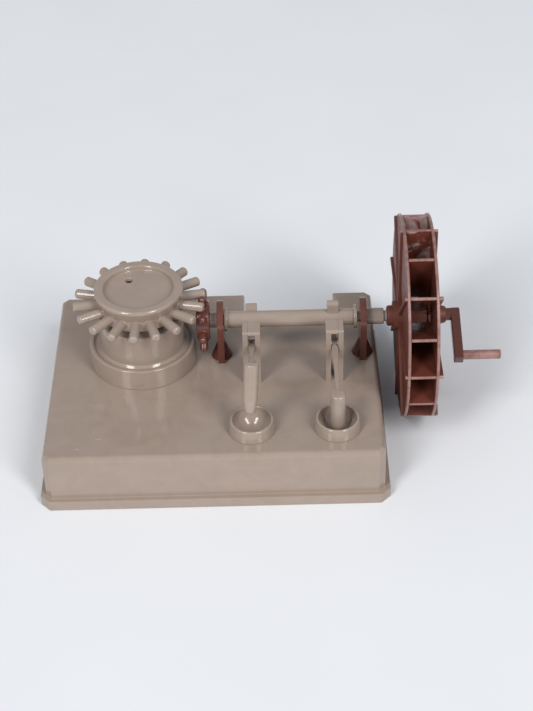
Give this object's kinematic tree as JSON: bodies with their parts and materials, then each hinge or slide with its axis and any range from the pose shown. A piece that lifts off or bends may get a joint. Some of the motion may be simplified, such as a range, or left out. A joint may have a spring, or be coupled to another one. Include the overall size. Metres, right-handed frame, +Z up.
{
  "type": "water wheel mill toy",
  "caption": "Hand-cranked moulded plastic water wheel that turns a peg-gear mill and lifts two trip hammers over mortars.",
  "frame": {"origin": "middle of the base's underside, on the surface that it stands on", "axes": "+X along the camshaft to the water wheel, +Y to the back, +Z up"},
  "size_m": [0.1642, 0.097, 0.0752],
  "materials": {
    "gloss_tan": "gloss moulded",
    "gloss_brown": "gloss moulded"
  },
  "bodies": {
    "root": {"base_housing": "gloss_tan", "mill_basin": "gloss_tan", "mill_bedstone": "gloss_tan", "mill_spindle": "gloss_tan", "upright_left": "gloss_brown", "upright_right": "gloss_brown", "gate_frame_left": "gloss_tan", "gate_frame_right": "gloss_tan", "gate_cheek_left": "gloss_tan", "gate_cheek_right": "gloss_tan", "hammer_pivot_left": "gloss_tan", "hammer_pivot_right": "gloss_tan", "mortar_left": "gloss_tan", "mortar_right": "gloss_tan"},
    "shaft_line": {"camshaft": "gloss_tan", "cam_bar_left": "gloss_tan", "cam_bar_right": "gloss_tan", "peg_gear": "gloss_brown", "shaft_spacer_left": "gloss_tan", "shaft_spacer_right": "gloss_tan", "wheel_side_left": "gloss_brown", "wheel_side_right": "gloss_brown", "paddle_01": "gloss_brown", "paddle_02": "gloss_brown", "paddle_03": "gloss_brown", "paddle_04": "gloss_brown", "paddle_05": "gloss_brown", "paddle_06": "gloss_brown", "paddle_07": "gloss_brown", "paddle_08": "gloss_brown", "paddle_09": "gloss_brown", "paddle_10": "gloss_brown", "paddle_11": "gloss_brown", "paddle_12": "gloss_brown", "paddle_13": "gloss_brown", "paddle_14": "gloss_brown", "paddle_15": "gloss_brown", "paddle_16": "gloss_brown", "crank_arm": "gloss_brown", "crank_handle": "gloss_brown"},
    "mill_wheel": {"mill_pin_wheel": "gloss_tan"},
    "hammer_left": {"hammer_lever_left": "gloss_tan", "pestle_left": "gloss_tan"},
    "hammer_right": {"hammer_lever_right": "gloss_tan", "pestle_right": "gloss_tan"}
  },
  "joints": [
    {"name": "shaft_spin", "type": "hinge", "parent": "root", "child": "shaft_line", "pos_m": [0.03, 0.00937, 0.03825], "axis": [1, 0, 0], "continuous": true},
    {"name": "mill_spin", "type": "hinge", "parent": "root", "child": "mill_wheel", "pos_m": [-0.0263, 0.00937, 0.048], "axis": [0, 0, 1], "continuous": true},
    {"name": "hammer_left_swing", "type": "hinge", "parent": "root", "child": "hammer_left", "pos_m": [0.01375, -0.004, 0.0365], "axis": [-1, 0, 0], "range_deg": [-23.5, 1.5]},
    {"name": "hammer_right_swing", "type": "hinge", "parent": "root", "child": "hammer_right", "pos_m": [0.0433, -0.004, 0.0365], "axis": [-1, 0, 0], "range_deg": [0, 25]}
  ],
  "couplings": [
    {"joint": "mill_spin", "follows": "shaft_spin", "ratio": -0.44444}
  ]
}
